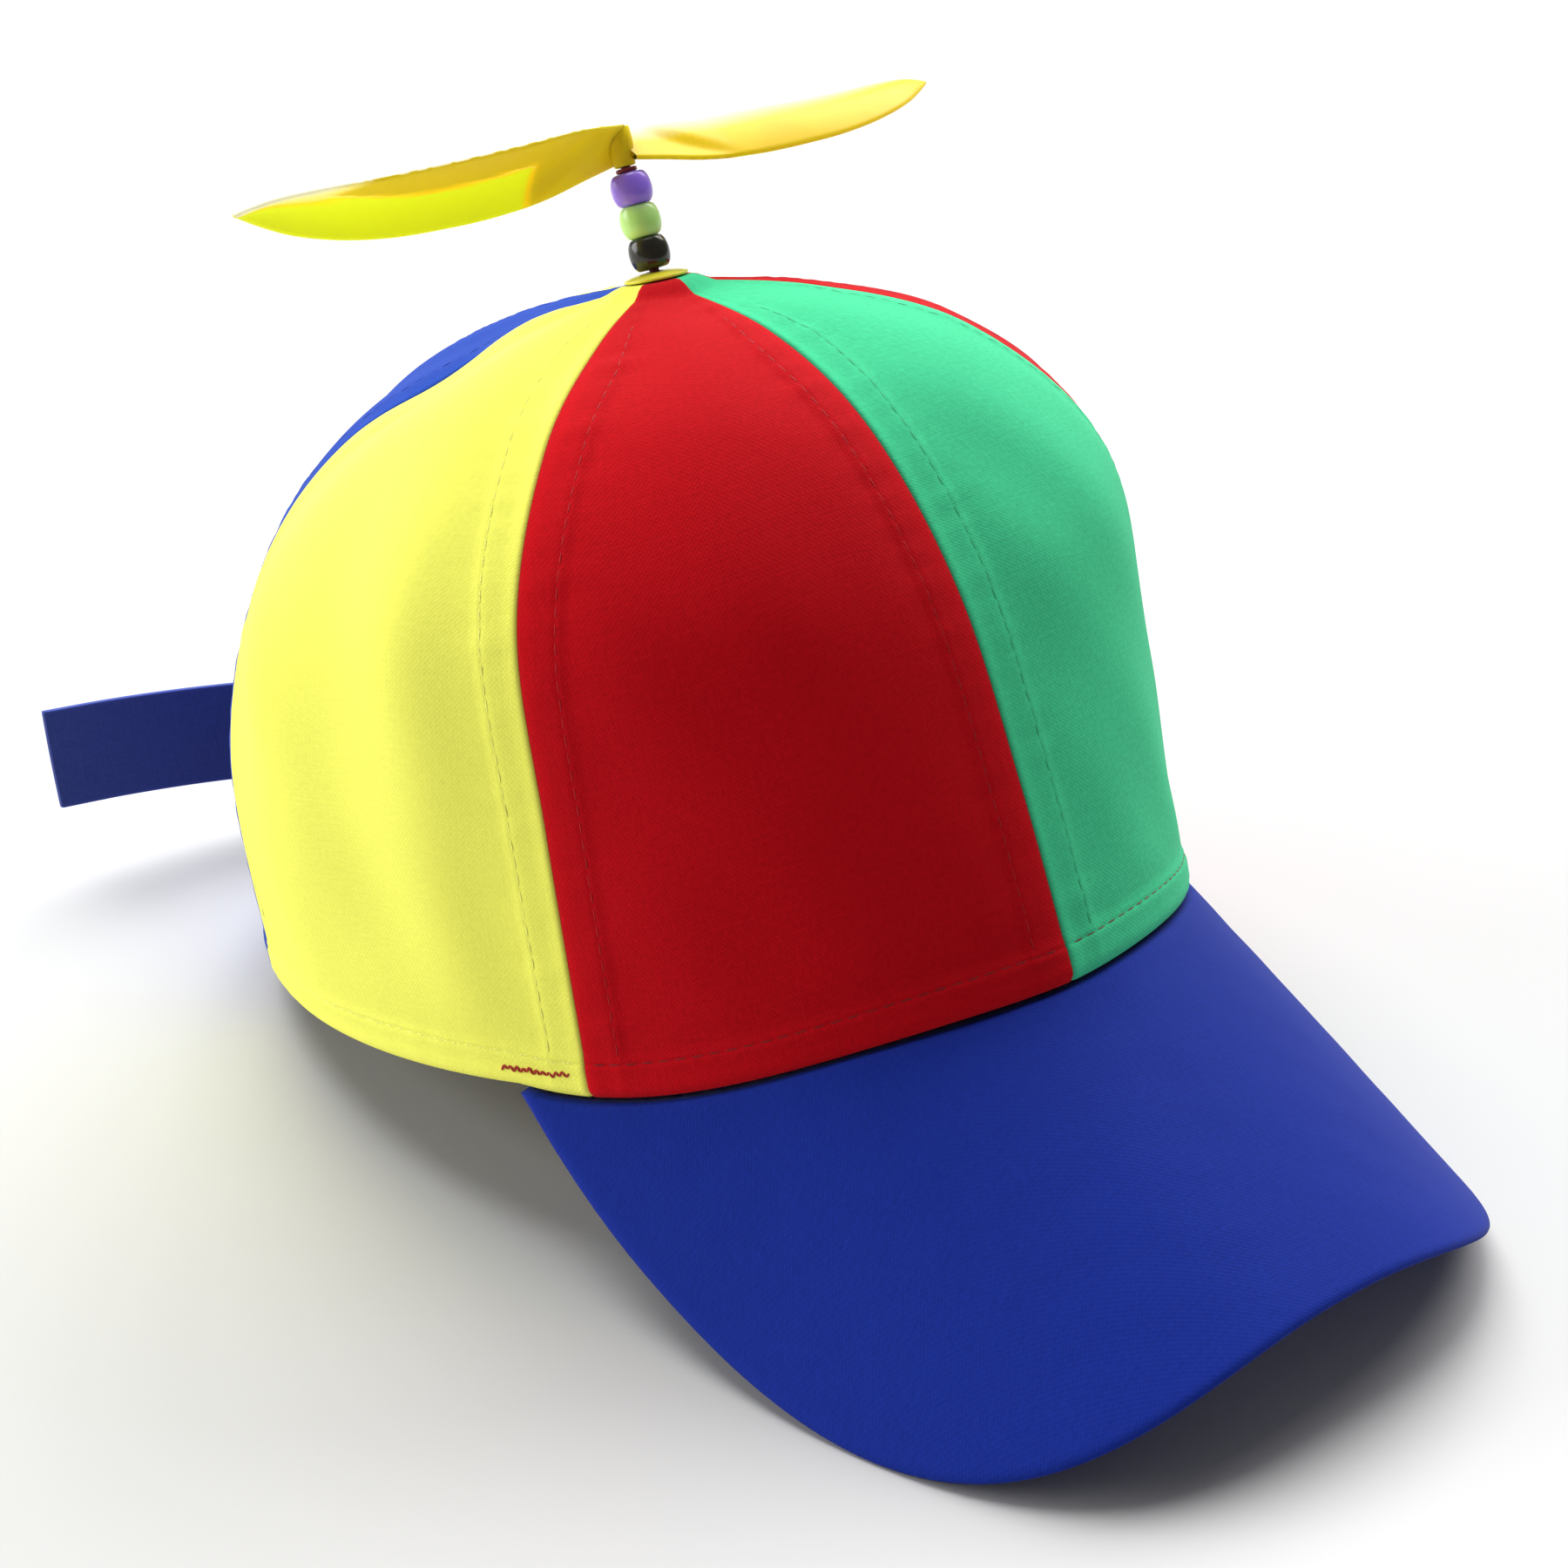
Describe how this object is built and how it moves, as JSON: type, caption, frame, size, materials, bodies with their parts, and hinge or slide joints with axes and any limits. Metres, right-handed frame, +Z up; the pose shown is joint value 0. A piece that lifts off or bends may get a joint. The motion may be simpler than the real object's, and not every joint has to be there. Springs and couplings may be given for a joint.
{
  "type": "propeller beanie cap",
  "caption": "Panelled cloth cap in bright colours with a curved visor, an open back strap, and a plastic propeller that spins on a beaded pin at its top.",
  "frame": {"origin": "on the surface that the cap rests on, under the middle of its box", "axes": "+Z up, the visor points to -Y, the wearer's left is +X"},
  "size_m": [0.1726, 0.2854, 0.1741],
  "materials": {
    "red_cloth": "plain-woven cotton",
    "green_cloth": "plain-woven cotton",
    "yellow_cloth": "plain-woven cotton",
    "blue_cloth": "plain-woven cotton",
    "navy_cloth": "close-woven tape",
    "yellow_plastic": "glossy moulded",
    "black_plastic": "glossy moulded",
    "green_plastic": "glossy moulded",
    "purple_plastic": "glossy moulded",
    "red_plastic": "moulded"
  },
  "bodies": {
    "hat": {"panel_front_right": "red_cloth", "panel_front_left": "green_cloth", "panel_side_right": "yellow_cloth", "panel_side_left": "red_cloth", "panel_back_right": "blue_cloth", "panel_back_left": "yellow_cloth", "visor": "blue_cloth", "back_strap": "navy_cloth", "base_plate": "yellow_plastic", "bead_black": "black_plastic", "bead_green": "green_plastic", "bead_purple": "purple_plastic", "washer_red": "red_plastic", "pin": "red_plastic"},
    "propeller": {"propeller": "yellow_plastic"}
  },
  "joints": [
    {"name": "propeller_spin", "type": "hinge", "parent": "hat", "child": "propeller", "pos_m": [-0.00013, 0.03145, 0.14278], "axis": [0.0052, 0.4338, 0.901], "continuous": true}
  ]
}
